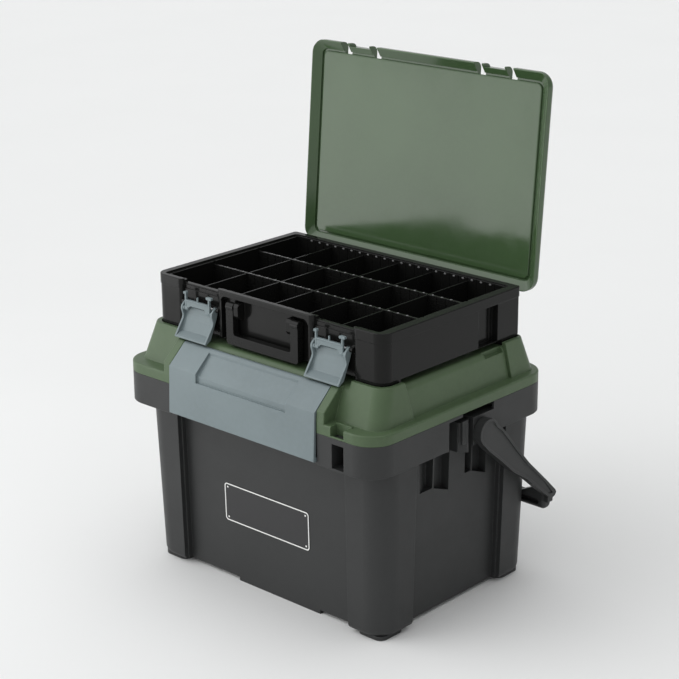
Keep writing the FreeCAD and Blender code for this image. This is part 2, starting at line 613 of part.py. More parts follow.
# the finger recess: a lower centre field that ends on a ledge below the knee
rec = prism("finger_recess", "x", [
    (by - 5.5, bz + 6.5), (by - 5.6, bz - 3.3), (Y(-171.2), 298.4), (Y(-171.6), 290.2), (Y(-180), 290.2), (Y(-182), 305)], -80, 80)
side_cut = []
grid = []
for x in (-95, -47.5, 0, 47.5, 95):
    grid.append(prism("buckle_rib", "x", [(Y(-174.6), 300.5), (Y(-176.2), 244), (Y(-173.2), 246), (Y(-170), 296)], x - 0.9, x + 0.9))
bk = cut("buckle_shell", fuse("buckle_a", plate, barrel), hollow)
backing = prism("recess_backing", "x", [
    (Y(-172.5), 286.5), (Y(-170.2), 286.5), (Y(-170.2), 291.2), (Y(-168.6), 291.8), (Y(-168.0), 299.5), (Y(-172.5), 299.5)], -83, 83)
bk = fuse("buckle_b", bk, backing, *grid)
bores = []
for sx in (-1, 1):
    a, b = (117.5, 131.0) if sx > 0 else (-131.0, -117.5)
    bores.append(cyl("buckle_bore", "x", a, b, by, bz, d.bk_pin + d.run_gap))
buckle = cut("front_buckle", bk, rec, *bores)
node(buckle, "front_buckle")

# ---------------------------------------------------------------- the bail handle

arms = []
for sx in (-1, 1):
    a, b = (d.arm_in, d.arm_out) if sx > 0 else (-d.arm_out, -d.arm_in)
    py, pz = Y(d.pivot_y), d.pivot_z
    arm = prism("arm", "x", [
        (Y(18.6), 232.0), (Y(31.5), 219.0), (Y(53), 201.0), (Y(85), 173.0), (Y(114), 154.0), (Y(141), 131.0), (Y(162), 114.0),
        (Y(165.6), 111.2), (Y(171), 109.8), (Y(176.4), 111.4), (Y(179), 115.4), (Y(177.2), 119.6),
        (Y(158.5), 138.0), (Y(117), 177.0), (Y(94.5), 202.0), (Y(61.5), 240.0), (Y(36), 261.0), (py, pz)], a, b)
    boss = cyl("boss", "x", a, b, py, pz, d.boss_r)
    arms.append(fuse("arm_and_boss", arm, boss))
    a, b = (226.0, 235.0) if sx > 0 else (-235.0, -226.0)
    arms.append(box("grip_root", a, b, Y(164.5), Y(175.5), 103.0, 116.0))
    xs = (lambda v: v) if sx > 0 else (lambda v: -v)
    arms.append(prism("grip_gusset", "y", [(xs(188), 104), (xs(188), 109.3), (xs(196), 113), (xs(206), 118), (xs(216), 122.5), (xs(228), 126), (xs(228), 104)],
                      Y(161.5), Y(169.5)))
grip = box("grip", -d.grip_x, d.grip_x, Y(162.0), Y(180.0), 91.0, 109.5)
grip = fillet("grip_round", grip, 7.5, along("x"))
grip = fillet("grip_ends", grip, 5.5, lambda e: abs(abs(mid(e).x) - d.grip_x.v) < 0.01 and not along("x")(e))
bail = fuse("bail_solid", grip, *arms)
# the inner side of the grip is channelled, and the arms' outer faces are sunk inside a raised rim
bail_cuts = [box("grip_channel", -221, 221, Y(160), Y(171.5), 97.0, 106.0)]
for sx in (-1, 1):
    a, b = (d.arm_out - 1.8, d.arm_out + 1) if sx > 0 else (-d.arm_out - 1, -d.arm_out + 1.8)
    py, pz = Y(d.pivot_y), d.pivot_z
    sunk = fuse("sunk",
                prism("sunk_arm", "x", [(Y(24), 230.4), (Y(33.8), 221.6), (Y(55.3), 203.6), (Y(87.3), 175.6), (Y(116.3), 156.6), (Y(143.3), 133.6),
                                        (Y(163), 117.6), (Y(172), 116.6), (Y(156.2), 135.4), (Y(114.7), 174.4), (Y(92.2), 199.4),
                                        (Y(59.2), 237.4), (Y(42), 251.4)], a, b),
                cyl("sunk_boss", "x", a, b, py, pz, d.boss_r - 3.2))
    bail_cuts.append(sunk)
    a, b = (d.arm_in - 1, 235.2) if sx > 0 else (-235.2, -d.arm_in + 1)
    bail_cuts.append(cyl("bail_bore", "x", a, b, py, pz, d.pivot_pin + d.run_gap))
bail = cut("bail_handle", bail, *bail_cuts)
node(bail, "bail_handle")

# ---------------------------------------------------------------- the compartment case

# the body, and the rim band that stands a little proud of it all round
cb = two_r("case_block", d.rim_step, d.case_z0, d.rim_band + 2)
cb = fillet("case_low_round", cb, 2.5, at_z(d.case_z0))
rim = two_r("case_rim", 0, d.rim_band, d.case_z1)
rim = fillet("case_top_round", rim, 1.2, at_z(d.case_z1))
rim = fillet("case_rim_low", rim, 0.7, at_z(d.rim_band))
ft = two_r("case_feet_block", d.rim_step + 0.3, d.deck_z, d.case_z0 + 6)
fz = fuse("case_feet_zone",
          box("cf", 150, 210, Y(-140), Y(-96), 330, 346), box("cf", -210, -150, Y(-140), Y(-96), 330, 346),
          box("cf", 150, 210, Y(104), Y(142), 330, 346), box("cf", -210, -150, Y(104), Y(142), 330, 346))
ftc = common("case_feet", ft, fz)
c_add, c_cut = [], []
interior = rbox("interior", -d.in_x, d.in_x, Y(d.in_f), Y(d.in_b), 3, d.in_z, d.case_z1 + 1)
c_cut.append(interior)
# shallow step round the mouth
c_cut.append(rbox("mouth_step", -d.in_x - 6, d.in_x + 6, Y(d.in_f) - 6, Y(d.in_b) + 1.2, 6, d.case_z1 - 2.2, d.case_z1 + 1))
hollow_sides = []
for sx in (-1, 1):
    a, b = (187.0, 197.5) if sx > 0 else (-197.5, -187.0)
    c_cut.append(box("side_hollow", a, b, Y(-92), Y(50), 330, 401))
    a, b = (190.5, 206) if sx > 0 else (-206, -190.5)
    c_cut.append(box("side_recess", a, b, Y(54), Y(93), 342, 391.4))
    a, b = (190.0, 191.3) if sx > 0 else (-191.3, -190.0)
    c_add.append(box("side_recess_rib", a, b, Y(86.4), Y(87.6), 341, 392))
    # two eyes that hold the lever's pin
    for s in (-1, 1):
        a, b = (29.8, 34.0) if s > 0 else (-34.0, -29.8)
        cx = sx * d.latch_x
        c_add.append(fuse("latch_eye", cyl("latch_eye_round", "x", cx + a, cx + b, Y(d.lp_y), d.lp_z, 3.3),
                          prism("latch_eye_web", "x", [(Y(-121.5), 368), (Y(-126.4), 371.8), (Y(-126.4), 378.2), (Y(-121.5), 381)], cx + a, cx + b)))
    # room for a latch: the front steps back between two rounded edges, and the rim is lower there
    a, b = (d.zone_c0, d.zone_c1) if sx > 0 else (-d.zone_c1, -d.zone_c0)
    for za, zb, r in ((330, d.rim_band, 5.6), (d.rim_band, 410, 6.4)):
        posts = [cyl("zone_edge", "z", q(za) - 1, q(zb) + 1, c, Y(d.zone_y), r) for c in (a, b)]
        c_cut.append(cut("latch_zone", box("zone_block", a, b, Y(-136), Y(d.zone_y), za, zb), *posts))
    c_cut.append(box("zone_mouth", a + 6.4, b - 6.4, Y(-136), Y(d.in_f) + 1, d.zone_top, 410))
    for za, zb in ((397.5, 398.8), (391.9, 393.2)):
        c_cut.append(box("zone_groove", a + 6.4, b - 6.4, Y(d.zone_y) - 1, Y(d.zone_y) + 1.1, za, zb))
hr = box("handle_recess", -d.recess_x, d.recess_x, Y(-135), Y(-120), 330, 398)
hr = fillet("handle_recess_round", hr, 8.0, lambda e: along("y")(e) and mid(e).z > 390)
c_cut.append(hr)
c_cut.append(box("back_hollow", -178, 178, Y(131.4), Y(136.4), 330, 401))
for sx in (-1, 1):
    a, b = (42.4, 50.2) if sx > 0 else (-50.2, -42.4)
    lug = prism("handle_lug", "x", [(Y(-118), 371), (Y(-129.5), 373), (Y(-132.6), 377.5), (Y(-133), 389.5), (Y(-130.4), 393.0), (Y(-118), 394)], a, b)
    c_add.append(lug)
ch_y, ch_z = Y(d.ch_y), d.ch_z
for cx in (-140, 0, 140):
    for a, b in ((-20, -10), (10, 20)):
        c_add.append(prism("case_web", "x", [(Y(137.5), 379), (ch_y + 3.0, ch_z - 3.3), (ch_y, ch_z + 4.4), (Y(137.5), 397.5)], cx + a, cx + b))
        c_add.append(cyl("case_knuckle", "x", cx + a, cx + b, ch_y, ch_z, d.ch_r))
grooves = []
for k in range(-11, 12):
    x = d.div_pitch * k
    grooves.append(box("groove", x - d.groove_w / 2, x + d.groove_w / 2, Y(d.in_f) - d.groove_d, Y(d.in_f) + 1, d.in_z, d.div_z + 5))
    grooves.append(box("groove", x - d.groove_w / 2, x + d.groove_w / 2, Y(d.in_b) - 1, Y(d.in_b) + d.groove_d, d.in_z, d.div_z + 5))
for y in (d.long_f, d.long_r):
    grooves.append(box("long_groove", -d.in_x - 1.6, -d.in_x + 1, Y(y) - d.long_t / 2 - 0.2, Y(y) + d.long_t / 2 + 0.2, d.in_z, d.div_z + 5))
    grooves.append(box("long_groove", d.in_x - 1, d.in_x + 1.6, Y(y) - d.long_t / 2 - 0.2, Y(y) + d.long_t / 2 + 0.2, d.in_z, d.div_z + 5))
case0 = cut("case_a", fuse("case_all", cb, rim, ftc), *(c_cut + grooves))
case1 = fuse("case_b", case0, *c_add)
c_bores = []
for sx in (-1, 1):
    a, b = (43.0, 51.5) if sx > 0 else (-51.5, -43.0)
    c_bores.append(cyl("lug_bore", "x", a, b, Y(d.hp_y), d.hp_z, d.hp_pin))
    cx = sx * d.latch_x
    c_bores.append(cyl("latch_bore", "x", cx - 33.3, cx + 33.3, Y(d.lp_y), d.lp_z, d.latch_pin))
for cx in (-140, 0, 140):
    c_bores.append(cyl("case_hinge_bore", "x", cx - 21, cx + 21, ch_y, ch_z, d.pin_small))
case = cut("case_body", case1, *c_bores)
node(case, "case_body")

chp = [cyl("case_hinge_pin", "x", cx - 19.5, cx + 19.5, ch_y, ch_z, d.pin_small) for cx in (-140, 0, 140)]
node(fuse("case_hinge_pins", *chp), "case_hinge_pins")
hpp = []
for sx in (-1, 1):
    a, b = (44.0, 59.5) if sx > 0 else (-59.5, -44.0)
    hpp.append(cyl("case_handle_pin", "x", a, b, Y(d.hp_y), d.hp_z, d.hp_pin))
node(fuse("case_handle_pins", *hpp), "case_handle_pins")

# ---------------------------------------------------------------- the case lid, drawn shut, then swung open

lz0, lz1 = d.lid_z0, d.lid_z0 + d.lid_t
lo = rbox("case_lid_out", -d.lid_x, d.lid_x, Y(d.lid_f), Y(d.lid_b), d.lid_r, lz0, lz1)
lo = fillet("case_lid_top", lo, 9.0, at_z(lz1))
lo = fillet("case_lid_low", lo, 0.8, at_z(lz0))


def inset(g):
    """The lid's outline drawn in by g."""
    return -d.lid_x + g, d.lid_x - g, Y(d.lid_f) + g, Y(d.lid_b) - g


# inside: a slope from the edge up to a groove, and a raised panel in the middle
slope = frustum("lid_slope", inset(1.5 - 11.0 / 8), inset(12.5), lz0 - 1, lz0 + 8, 18.5)
gutter = rbox("lid_gutter", *inset(12.5), 9, lz0 - 1, lz0 + 10.5)
island = rbox("lid_island", *inset(15.5), 8, lz0 + 8, lz0 + 12)
island = fillet("lid_island_round", island, 1.5, at_z(lz0 + 8))
field = rbox("lid_field", *inset(22), 8, lz1 - 4.5, lz1 + 1)
field = fillet("lid_field_round", field, 2.0, at_z(lz1 - 4.5))
l_add, l_cut = [], [slope, cut("lid_gutter_ring", gutter, island), field]
# seats in the front edge for the latches' hooks
for pair in (((-150.7, -138.2), (-97.5, -85.0)), ((83.0, 95.5), (134.5, 147.0))):
    for a, b in pair:
        l_cut.append(prism("latch_seat", "x", [(Y(-145), lz0 - 1), (Y(-129), lz0 - 1), (Y(-122.5), lz1 + 1), (Y(-145), lz1 + 1)], a, b))
    l_cut.append(box("latch_notch", pair[0][1] + 3.2, pair[1][0] - 1.5, Y(-145), Y(-136.5), lz0 - 1, lz1 + 1))
for cx in (-140, 0, 140):
    x0, x1 = cx - 9.6, cx + 9.6
    l_add.append(prism("lid_arm", "x", [(Y(140.0), lz0 + 5), (ch_y - 4.2, ch_z + 1.0), (ch_y + 4.4, ch_z + 0.8), (Y(144.9), lz0 + 5)], x0, x1))
    l_add.append(cyl("lid_arm_knuckle", "x", x0, x1, ch_y, ch_z, d.ch_r))
l_bore = [cyl("lid_arm_bore", "x", cx - 11, cx + 11, ch_y, ch_z, d.pin_small + d.run_gap) for cx in (-140, 0, 140)]
cl = cut("case_lid_b", fuse("case_lid_a", cut("case_lid_shell", lo, *l_cut), *l_add), *l_bore)


def swing(obj, y, z, deg):
    """Turn a finished shape about the X line through (y, z)."""
    doc.recompute()
    y, z = q(y), q(z)
    obj.Placement = Placement(Vector(0, 0, 0), Rotation(Vector(1, 0, 0), deg), Vector(0, y.v, z.v))
    return obj


swing(cl, ch_y, ch_z, -d.lid_open.v)
node(cl, "case_lid")

# ---------------------------------------------------------------- dividers


def long_divider(label_name, y):
    b = doc.addObject("PartDesign::Body", label_name)
    doc.recompute()
    s = b.newObject("Sketcher::SketchObject", label_name + "_plan")
    s.AttachmentSupport = [(plane(b, "XY_Plane"), "")]
    s.MapMode = "FlatFace"
    hx = d.in_x + 1.2
    poly_geometry(s, [(-hx, -d.long_t / 2), (hx, -d.long_t / 2), (hx, d.long_t / 2), (-hx, d.long_t / 2)])
    p = b.newObject("PartDesign::Pad", label_name + "_pad")
    p.Profile = s
    h = d.div_z - d.in_z - 0.3
    p.Length = h.v
    bind(p, "Length", h)
    doc.recompute()
    g = b.newObject("Sketcher::SketchObject", label_name + "_grooves")
    g.AttachmentSupport = [(plane(b, "XY_Plane"), "")]
    g.MapMode = "FlatFace"
    k = 0
    for side in (-1, 1):
        x0 = -11 * d.div_pitch - d.groove_w / 2
        x1 = -11 * d.div_pitch + d.groove_w / 2
        ya, yb = (-d.long_t / 2 - 1, -d.long_t / 2 + d.groove_d) if side < 0 else (d.long_t / 2 - d.groove_d, d.long_t / 2 + 1)
        n = 4
        pts = [(x0, ya), (x1, ya), (x1, yb), (x0, yb)]
        g.addGeometry([Part.LineSegment(Vector(pts[i][0].v, pts[i][1].v, 0), Vector(pts[(i + 1) % 4][0].v, pts[(i + 1) % 4][1].v, 0)) for i in range(4)], False)
        for i in range(4):
            g.addConstraint(Sketcher.Constraint("Coincident", k + i, 2, k + (i + 1) % 4, 1))
        for i, (u, v) in enumerate(pts):
            c = g.addConstraint(Sketcher.Constraint("DistanceX", -1, 1, k + i, 1, u.v))
            g.setExpression("Constraints[%d]" % c, u.t)
            c = g.addConstraint(Sketcher.Constraint("DistanceY", -1, 1, k + i, 1, v.v))
            g.setExpression("Constraints[%d]" % c, v.t)
        k += 4
    pk = b.newObject("PartDesign::Pocket", label_name + "_pocket")
    pk.Profile = g
    pk.Type = 1
    pk.Reversed = True
    doc.recompute()
    lpn = b.newObject("PartDesign::LinearPattern", label_name + "_row")
    lpn.Originals = [pk]
    lpn.Direction = (plane(b, "YZ_Plane"), [""]) if False else (s, ["H_Axis"])
    lpn.Length = 22 * d.div_pitch.v
    lpn.Occurrences = 23
    b.Tip = lpn
    put(b, 0, Y(y), d.in_z + 0.3)
    doc.recompute()
    full_v = 2 * hx.v * d.long_t.v * h.v
    want = full_v - 46 * d.groove_w.v * d.groove_d.v * h.v
    if abs(b.Shape.Volume - want) > 5:
        raise RuntimeError("grooves of %s: volume %.1f, wanted %.1f" % (label_name, b.Shape.Volume, want))
    return b


node(long_divider("long_divider_front", d.long_f), "long_divider_front")
node(long_divider("long_divider_rear", d.long_r), "long_divider_rear")

half_t = d.long_t / 2
slack = 0.2
rows = {
    "cross_dividers_front": (d.in_f - d.groove_d + slack, d.long_f - half_t + d.groove_d - slack),
    "cross_dividers_middle": (d.long_f + half_t - d.groove_d + slack, d.long_r - half_t + d.groove_d - slack),
    "cross_dividers_rear": (d.long_r + half_t - d.groove_d + slack, d.in_b + d.groove_d - slack),
}
for label_name, (y0, y1) in rows.items():
    plates = []
    for k in (-8, -4, 0, 4, 8):
        x = d.div_pitch * k
        plates.append(box("cross", x - d.cross_t / 2, x + d.cross_t / 2, Y(y0), Y(y1), d.in_z + 0.3, d.div_z - 0.6))
    node(fuse(label_name, *plates), label_name)

# ---------------------------------------------------------------- the case's carrying handle

hx, hi = d.handle_x, d.handle_in
y0, y1 = Y(d.hp_y) - 5.0, Y(d.hp_y) + 5.0
u = prism("handle_u", "y", [(-hx, d.handle_z0), (hx, d.handle_z0), (hx, d.hp_z), (hi, d.hp_z), (hi, d.handle_z1),
                            (-hi, d.handle_z1), (-hi, d.hp_z), (-hx, d.hp_z)], y0, y1)
u = fillet("handle_corners", u, 4.5, lambda e: along("y")(e) and abs(mid(e).z - d.handle_z0.v) < 0.2)
u = fillet("handle_inner", u, 4.0, lambda e: along("y")(e) and abs(mid(e).z - d.handle_z1.v) < 0.2)
tops = []
for sx in (-1, 1):
    a, b = (d.handle_in, d.handle_x) if sx > 0 else (-d.handle_x, -d.handle_in)
    tops.append(cyl("handle_top", "x", a, b, Y(d.hp_y), d.hp_z, d.hp_r))
hb = []
for sx in (-1, 1):
    a, b = (50.0, 60.5) if sx > 0 else (-60.5, -50.0)
    hb.append(cyl("handle_bore", "x", a, b, Y(d.hp_y), d.hp_z, d.hp_pin + d.run_gap))
hb.append(box("handle_scoop", -44, 44, Y(d.hp_y) + 1.5, Y(d.hp_y) + 8, 340.6, 347.6))
ch = cut("case_handle", fuse("handle_solid", u, *tops), *hb)
node(ch, "case_handle")

# ---------------------------------------------------------------- the two latches

lpy, lpz = Y(d.lp_y), d.lp_z
ky, kz = lpy + d.lk_dy, lpz + d.lk_dz
for side, sx in (("left", -1), ("right", 1)):
    cx = sx * d.latch_x
    # the lever as it hangs: a tray between two side walls, turning on a pin through two eyes of the case
    lev_parts = []
    for s in (-1, 1):
        a, b = (26.4, d.lever_half) if s > 0 else (-d.lever_half, -26.4)
        wall = prism("lever_wall", "x", [
            (Y(-148.4), 334.4), (Y(-148.4), 332.9), (Y(-147.2), 332.2), (Y(-143.0), 335.0), (Y(-138.7), 337.2), (Y(-131.0), 355.0),
            (Y(-127.4), 363.0), (Y(-125.0), 370.0), (Y(-123.6), 374.0), (Y(-125.2), 377.4), (Y(-129.0), 377.8), (Y(-132.4), 375.4),
            (Y(-135.0), 372.6), (Y(-135.9), 369.0), (Y(-135.3), 365.4), (Y(-134.0), 362.0), (Y(-133.5), 358.6), (Y(-134.6), 355.0)], cx + a, cx + b)
        a, b = (23.4, d.lever_half) if s > 0 else (-d.lever_half, -23.4)
        lev_parts += [wall, cyl("lever_knuckle", "x", cx + a, cx + b, lpy, lpz, 2.9), cyl("lever_boss", "x", cx + a, cx + b, ky, kz, 2.7)]
    lev_parts.append(prism("lever_tray", "x", [
        (Y(-128.3), 370.4), (Y(-128.9), 362.0), (Y(-131.4), 354.6), (Y(-138.2), 340.6), (Y(-147.4), 335.4), (Y(-148.4), 334.4), (Y(-148.4), 332.9),
        (Y(-147.2), 332.2), (Y(-138.8), 337.6), (Y(-130.6), 355.0), (Y(-126.6), 362.6), (Y(-125.8), 370.4)], cx - 26.6, cx + 26.6))
    lcuts = [cyl("lever_bore", "x", cx - 31, cx + 31, lpy, lpz, d.latch_pin + d.run_gap)]
    pins = []
    for s in (-1, 1):
        a, b = (17.5, 28.0) if s > 0 else (-28.0, -17.5)
        lcuts.append(cyl("link_seat", "x", cx + a, cx + b, ky, kz, d.latch_pin))
        pins.append(cyl("link_pin", "x", cx + a, cx + b, ky, kz, d.latch_pin))
    lever = cut("lever", fuse("lever_solid", *lev_parts), *lcuts)
    node(lever, "latch_%s_lever" % side)
    pin = cyl("lever_pin", "x", cx - 33.0, cx + 33.0, lpy, lpz, d.latch_pin)
    node(pin, "latch_%s_lever_pin" % side)
    # the link stands upright on its own two short pins
    node(fuse("link_pins", *pins), "latch_%s_link_pin" % side)
    # a crossbar on two legs, with two hooked prongs and a low middle one
    plate = prism("link_plate", "y", [
        (cx - d.link_half, kz), (cx - 17.2, kz), (cx - 16.6, kz + 1.0), (cx - 13.0, kz + 4.0), (cx + 13.0, kz + 4.0), (cx + 16.6, kz + 1.0), (cx + 17.2, kz),
        (cx + d.link_half, kz), (cx + d.link_half, kz + 12.0), (cx - d.link_half, kz + 12.0)], ky - 1.4, ky + 1.6)
    bead = box("link_bead", cx - d.link_half + 2.0, cx + d.link_half - 2.0, ky - 2.0, ky, kz + 9.6, kz + 12.0)
    parts = [plate, fillet("link_bead_round", bead, 0.7, along("x")), box("link_prong_middle", cx - 0.9, cx + 0.9, ky - 1.2, ky + 0.8, kz + 11.0, kz + 18.0)]
    for s in (-1, 1):
        a, b = (17.2, d.link_half) if s > 0 else (-d.link_half, -17.2)
        parts.append(cyl("link_barrel", "x", cx + a, cx + b, ky, kz, 2.7))
        a, b = (20.6, d.link_half + 0.4) if s > 0 else (-d.link_half - 0.4, -20.6)
        parts.append(box("link_prong", cx + a, cx + b, ky - 1.6, ky + 1.4, kz + 0.5, kz + d.link_h - 1.0))
        a, b = (17.6, 27.0) if s > 0 else (-24.6, -19.6)
        head = box("link_hook", cx + a, cx + b, ky - 2.4, ky + 1.6, kz + d.link_h - 3.4, kz + d.link_h)
        parts.append(fillet("link_hook_round", head, 0.8, along("y")))
    link_bore = [cyl("link_bore", "x", cx + a, cx + b, ky, kz, d.latch_pin + d.run_gap) for a, b in ((-23.2, -16.8), (16.8, 23.2))]
    link = cut("link", fuse("link_solid", *parts), *link_bore)
    node(link, "latch_%s_link" % side)

# ---------------------------------------------------------------- check and write

doc.recompute()
bad = [o.Name for o in doc.Objects if "Invalid" in o.State or "Error" in o.State]
if bad:
    raise RuntimeError("failed objects: " + ", ".join(bad))
lo_pt, hi_pt = [1e9] * 3, [-1e9] * 3
for obj in NODES:
    shp = obj.Shape
    if shp.isNull() or not shp.isValid() or not shp.Solids:
        raise RuntimeError("bad shape: " + obj.Label)
    bb = shp.BoundBox
    for i, (a, b) in enumerate(((bb.XMin, bb.XMax), (bb.YMin, bb.YMax), (bb.ZMin, bb.ZMax))):
        lo_pt[i] = min(lo_pt[i], a)
        hi_pt[i] = max(hi_pt[i], b)
    print("%-26s solids %2d  volume %10.1f" % (obj.Label, len(shp.Solids), shp.Volume))
for name in os.listdir("parts"):
    if name.endswith(".step"):
        os.remove(os.path.join("parts", name))
for obj in NODES:
    obj.Shape.exportStep("parts/%s.step" % obj.Label)
print("nodes", len(NODES), "box", [round(v, 2) for v in lo_pt], [round(v, 2) for v in hi_pt])
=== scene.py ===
import bpy
import bmesh
import json
import math
from mathutils import Matrix, Vector


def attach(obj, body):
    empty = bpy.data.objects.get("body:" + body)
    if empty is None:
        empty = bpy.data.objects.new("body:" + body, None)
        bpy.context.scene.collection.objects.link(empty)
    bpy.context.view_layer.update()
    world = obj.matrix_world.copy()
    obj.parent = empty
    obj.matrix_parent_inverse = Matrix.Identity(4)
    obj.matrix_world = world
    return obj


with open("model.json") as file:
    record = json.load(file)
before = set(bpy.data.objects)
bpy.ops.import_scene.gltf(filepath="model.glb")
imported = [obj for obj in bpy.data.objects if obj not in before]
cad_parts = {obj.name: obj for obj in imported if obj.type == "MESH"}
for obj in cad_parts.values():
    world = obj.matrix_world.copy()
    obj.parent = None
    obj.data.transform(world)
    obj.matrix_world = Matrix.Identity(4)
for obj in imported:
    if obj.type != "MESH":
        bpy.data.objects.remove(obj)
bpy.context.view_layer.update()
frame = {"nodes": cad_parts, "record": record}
scene = bpy.context.scene
scene.view_settings.view_transform = "Standard"

Y_MID = -0.01077


def P(x, y, z):
    """A point in millimetres, its depth counted from the middle of the flange, in metres of the row frame."""
    return Vector((x / 1000.0, Y_MID + y / 1000.0, z / 1000.0))


# ---------------------------------------------------------------- camera
right = Vector((0.7368574, 0.6760069, -0.0074734))
up = Vector((-0.2127645, 0.2423808, 0.9465637))
fwd = Vector((-0.6416950, 0.6958924, -0.3224304))
cam_data = bpy.data.cameras.new("camera")
cam_data.sensor_width = 36.0
cam_data.sensor_fit = "HORIZONTAL"
cam_data.lens = 1865.83 * 36.0 / 679.0
cam_data.clip_end = 60.0
cam = bpy.data.objects.new("camera", cam_data)
scene.collection.objects.link(cam)
m = Matrix.Identity(4)
for i in range(3):
    m[i][0], m[i][1], m[i][2] = right[i], up[i], -fwd[i]
m[0][3], m[1][3], m[2][3] = 1.582555, -1.715032, 1.114930
cam.matrix_world = m
scene.camera = cam


# ---------------------------------------------------------------- node helpers
class Net:
    """A short way to write a node tree."""

    def __init__(self, tree):
        self.t = tree
        self.t.nodes.clear()

    def add(self, kind, **kw):
        n = self.t.nodes.new(kind)
        for k, v in kw.items():
            setattr(n, k, v)
        return n

    def link(self, a, b):
        self.t.links.new(a, b)

    def value(self, socket, v):
        if hasattr(v, "is_linked"):
            self.link(v, socket)
        else:
            socket.default_value = v

    def math(self, op, a, b=None, clamp=False):
        n = self.add("ShaderNodeMath", operation=op, use_clamp=clamp)
        self.value(n.inputs[0], a)
        if b is not None:
            self.value(n.inputs[1], b)
        return n.outputs[0]

    def ramp(self, v, a0, a1, b0, b1, smooth=False):
        n = self.add("ShaderNodeMapRange")
        if smooth:
            n.interpolation_type = "SMOOTHSTEP"
        self.value(n.inputs["Value"], v)
        for key, x in (("From Min", a0), ("From Max", a1), ("To Min", b0), ("To Max", b1)):
            n.inputs[key].default_value = x
        return n.outputs["Result"]

    def noise(self, vec, scale, detail=2.0, rough=0.5):
        n = self.add("ShaderNodeTexNoise")
        self.link(vec, n.inputs["Vector"])
        n.inputs["Scale"].default_value = scale
        n.inputs["Detail"].default_value = detail
        n.inputs["Roughness"].default_value = rough
        return n.outputs["Fac"]

    def stretch(self, vec, scale):
        n = self.add("ShaderNodeMapping")
        self.link(vec, n.inputs["Vector"])
        n.inputs["Scale"].default_value = scale
        return n.outputs["Vector"]

    def mix(self, fac, a, b, blend="MIX"):
        n = self.add("ShaderNodeMix", data_type="RGBA", blend_type=blend)
        self.value(n.inputs["Factor"], fac)
        for s, v in ((n.inputs[6], a), (n.inputs[7], b)):
            if hasattr(v, "is_linked"):
                self.link(v, s)
            else:
                s.default_value = (*v, 1.0)
        return n.outputs[2]

    def dot(self, a, b):
        n = self.add("ShaderNodeVectorMath", operation="DOT_PRODUCT")
        for s, v in ((n.inputs[0], a), (n.inputs[1], b)):
            if hasattr(v, "is_linked"):
                self.link(v, s)
            else:
                s.default_value = v
        return n.outputs["Value"]


def lighter(c, k):
    return tuple(min(1.0, v * k) for v in c)


def plastic(name, col, rough=0.4, spread=0.07, grain=1300.0, grain_depth=0.00003, edge=0.0009, edge_wear_and_highlight_gain=1.5,
            scuff=0.0, tint=None, mottle=0.08, spec=0.33, pebble=0.0, wear_rough=-0.08):
    """Moulded plastic: broad and fine colour variation, grain, rounded edges painted lighter as both rubbed wear
    and a painted edge highlight, and faint scuffs.
    """
    mat = bpy.data.materials.new(name)
    mat.use_nodes = True
    n = Net(mat.node_tree)
    out = n.add("ShaderNodeOutputMaterial")
    b = n.add("ShaderNodeBsdfPrincipled")
    n.link(b.outputs[0], out.inputs[0])
    b.inputs["IOR"].default_value = 1.5
    b.inputs["Specular IOR Level"].default_value = spec
    co = n.add("ShaderNodeTexCoord").outputs["Object"]
    broad = n.noise(co, 6.0, 3.0)
    fine = n.noise(co, 140.0, 3.0, 0.6)
    grain_n = n.noise(co, grain, 2.0, 0.6)
    # colour
    c = n.mix(n.ramp(broad, 0.3, 0.7, 0.0, 1.0), lighter(col, 1.0 - mottle), lighter(tint or col, 1.0 + mottle))
    c = n.mix(n.ramp(fine, 0.35, 0.75, 0.0, 0.35), c, lighter(col, 1.18))
    geo = n.add("ShaderNodeNewGeometry")
    wide = n.add("ShaderNodeBevel", samples=4)
    wide.inputs["Radius"].default_value = edge * 1.6
    turn = n.math("SUBTRACT", 1.0, n.dot(wide.outputs[0], geo.outputs["Normal"]))
    # rounded edges are painted lighter in patches: partly rubbed wear, partly a painted edge highlight
    wear_and_edge_highlight = n.math("MULTIPLY", n.ramp(turn, 0.015, 0.20, 0.0, 1.0), n.ramp(fine, 0.25, 0.6, 0.45, 1.0))
    c = n.mix(wear_and_edge_highlight, c, lighter(col, edge_wear_and_highlight_gain))
    n.link(c, b.inputs["Base Color"])
    # roughness
    r = n.math("ADD", rough - spread, n.math("MULTIPLY", n.ramp(n.noise(co, 22.0, 4.0, 0.65), 0.3, 0.7, 0.0, 1.0), 2.0 * spread))
    if scuff:
        lines = n.noise(n.stretch(co, (35.0, 260.0, 900.0)), 1.0, 2.0)
        r = n.math("ADD", r, n.math("MULTIPLY", n.ramp(lines, 0.62, 0.74, 0.0, 1.0), scuff))
    r = n.math("ADD", r, n.math("MULTIPLY", wear_and_edge_highlight, wear_rough), clamp=True)
    n.link(r, b.inputs["Roughness"])
    # relief
    soft = n.add("ShaderNodeBevel", samples=4)
    soft.inputs["Radius"].default_value = edge
    h = grain_n
    if pebble:
        v = n.add("ShaderNodeTexVoronoi", feature="SMOOTH_F1")
        n.link(co, v.inputs["Vector"])
        v.inputs["Scale"].default_value = pebble
        h = n.math("ADD", n.math("MULTIPLY", v.outputs["Distance"], 1.0), n.math("MULTIPLY", grain_n, 0.5))
    bump = n.add("ShaderNodeBump")
    bump.inputs["Strength"].default_value = 1.0
    bump.inputs["Distance"].default_value = grain_depth
    n.link(h, bump.inputs["Height"])
    n.link(soft.outputs[0], bump.inputs["Normal"])
    n.link(bump.outputs[0], b.inputs["Normal"])
    return mat


